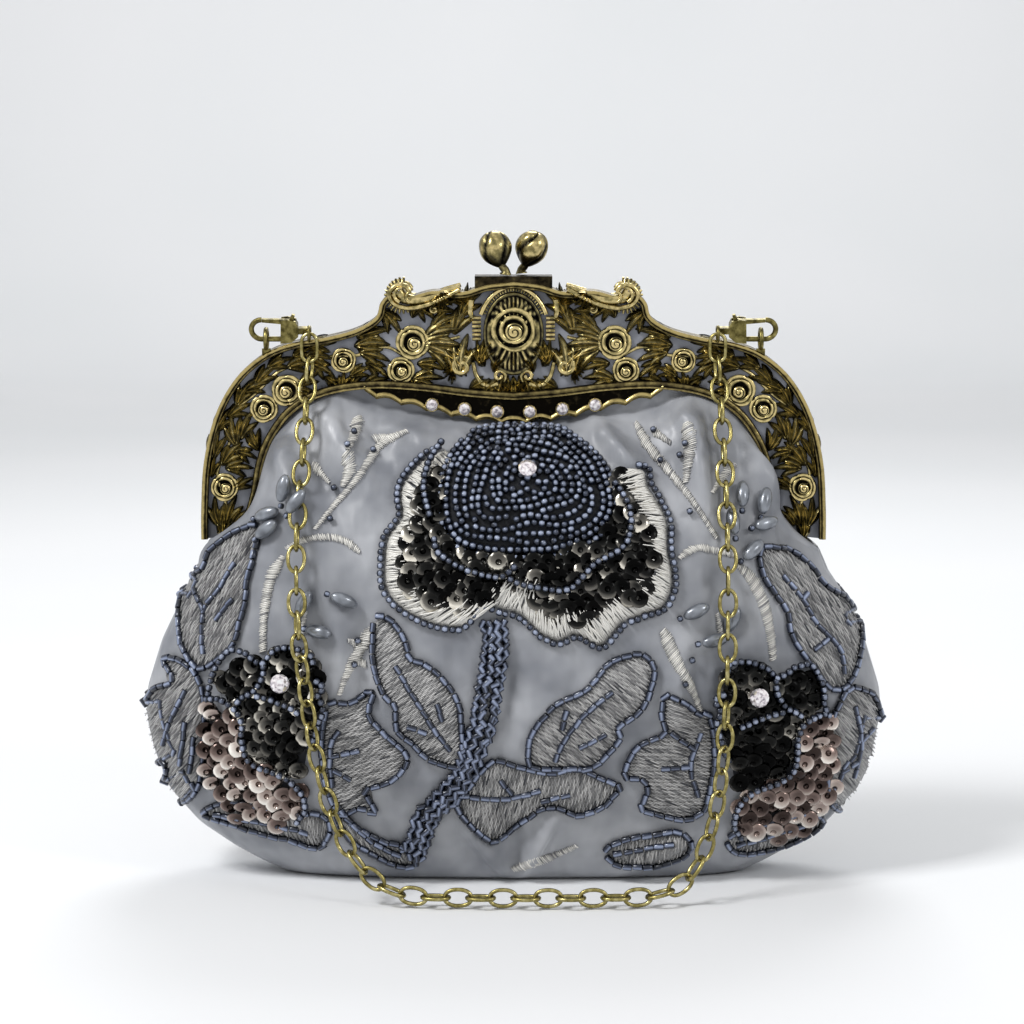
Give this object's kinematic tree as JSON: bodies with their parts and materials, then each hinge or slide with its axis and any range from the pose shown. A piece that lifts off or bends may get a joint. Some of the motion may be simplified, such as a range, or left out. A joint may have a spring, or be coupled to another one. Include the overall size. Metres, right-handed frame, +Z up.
{
  "type": "kiss lock frame purse",
  "caption": "Small satin evening purse with a beaded rose, an ornate antiqued metal frame with a kiss lock, and a clip-on chain strap.",
  "frame": {"origin": "centre of the flat base of the bag", "axes": "+X across the purse, front faces -Y, +Z up"},
  "size_m": [0.222, 0.0941, 0.1928],
  "materials": {
    "satin": "grey satin with a soft sheen",
    "lining": "pale grey taffeta lining",
    "board": "grey board stiffener",
    "antique_brass": "antiqued brass, dark in its recesses",
    "dark_brass": "antiqued brass, darker",
    "chain_brass": "greenish antiqued brass",
    "beads": "gunmetal and navy glass beads and sequins",
    "thread": "silver embroidery thread",
    "crystal": "clear cut rhinestone",
    "pearl": "grey pearl coating"
  },
  "bodies": {
    "pouch": {"satin_bag": "satin", "bag_lining": "lining", "base_board": "board", "slip_pocket": "lining", "hinge_pins": "antique_brass", "side_flower_pads": "beads", "front_leaf_pads": "thread", "rear_leaf_pads": "thread", "rose_stem": "beads", "lower_pearls": "pearl", "side_gems": "crystal"},
    "front_frame": {"front_channel": "dark_brass", "front_openwork": "antique_brass", "front_roses": "antique_brass", "front_medallion": "antique_brass", "front_apron": "dark_brass", "apron_cups": "antique_brass", "apron_gems": "crystal", "front_backing": "satin", "front_panel": "satin", "front_panel_lining": "lining", "front_hinge_lugs": "dark_brass", "strap_ears": "chain_brass", "front_lock_seat": "dark_brass", "upper_pearls": "pearl", "centre_rose": "beads", "rose_gem": "crystal"},
    "rear_frame": {"rear_channel": "dark_brass", "rear_openwork": "antique_brass", "rear_roses": "antique_brass", "rear_medallion": "antique_brass", "rear_backing": "satin", "rear_panel": "satin", "rear_panel_lining": "lining", "rear_hinge_lugs": "dark_brass", "rear_lock_seat": "dark_brass", "rear_rose": "beads"},
    "front_lock": {"front_bud": "antique_brass"},
    "rear_lock": {"rear_bud": "antique_brass"},
    "clasps": {"left_clasp": "chain_brass", "right_clasp": "chain_brass", "clasp_pins": "chain_brass"},
    "left_lever": {"left_clasp_lever": "chain_brass"},
    "right_lever": {"right_clasp_lever": "chain_brass"},
    "chain": {"jump_rings": "chain_brass", "left_strand": "chain_brass", "right_strand": "chain_brass", "bottom_run": "chain_brass"}
  },
  "joints": [
    {"name": "frame_open", "type": "hinge", "parent": "pouch", "child": "front_frame", "pos_m": [0, 0, 0.097], "axis": [1, 0, 0], "range_deg": [0, 30], "deforming": ["centre_rose"]},
    {"name": "rear_open", "type": "hinge", "parent": "pouch", "child": "rear_frame", "pos_m": [0, 0, 0.097], "axis": [-1, 0, 0], "range_deg": [0, 30], "deforming": ["rear_rose"]},
    {"name": "front_bud_flex", "type": "hinge", "parent": "front_frame", "child": "front_lock", "pos_m": [-0.0024, -0.00305, 0.1804], "axis": [0, -1, 0], "range_deg": [0, 8], "stiffness_Nm_per_rad": 0.4},
    {"name": "rear_bud_flex", "type": "hinge", "parent": "rear_frame", "child": "rear_lock", "pos_m": [0.0024, 0.00305, 0.1804], "axis": [0, 1, 0], "range_deg": [0, 8], "stiffness_Nm_per_rad": 0.4},
    {"name": "clasp_swivel", "type": "hinge", "parent": "front_frame", "child": "clasps", "pos_m": [0, -0.0052, 0.16145], "axis": [-1, 0, 0], "range_deg": [0, 40.5]},
    {"name": "left_lever_press", "type": "hinge", "parent": "clasps", "child": "left_lever", "pos_m": [-0.0663, -0.00698, 0.16634], "axis": [0, -0.9397, -0.342], "range_deg": [0, 14], "stiffness_Nm_per_rad": 0.002},
    {"name": "right_lever_press", "type": "hinge", "parent": "clasps", "child": "right_lever", "pos_m": [0.0663, -0.00698, 0.16634], "axis": [0, 0.9397, 0.342], "range_deg": [0, 14], "stiffness_Nm_per_rad": 0.002},
    {"name": "chain_swing", "type": "hinge", "parent": "clasps", "child": "chain", "pos_m": [0, -0.0086, 0.16319], "axis": [-1, 0, 0], "range_deg": [0, 165]}
  ],
  "couplings": [
    {"joint": "rear_open", "follows": "frame_open", "ratio": 1},
    {"joint": "clasp_swivel", "follows": "frame_open", "ratio": 1.35}
  ]
}
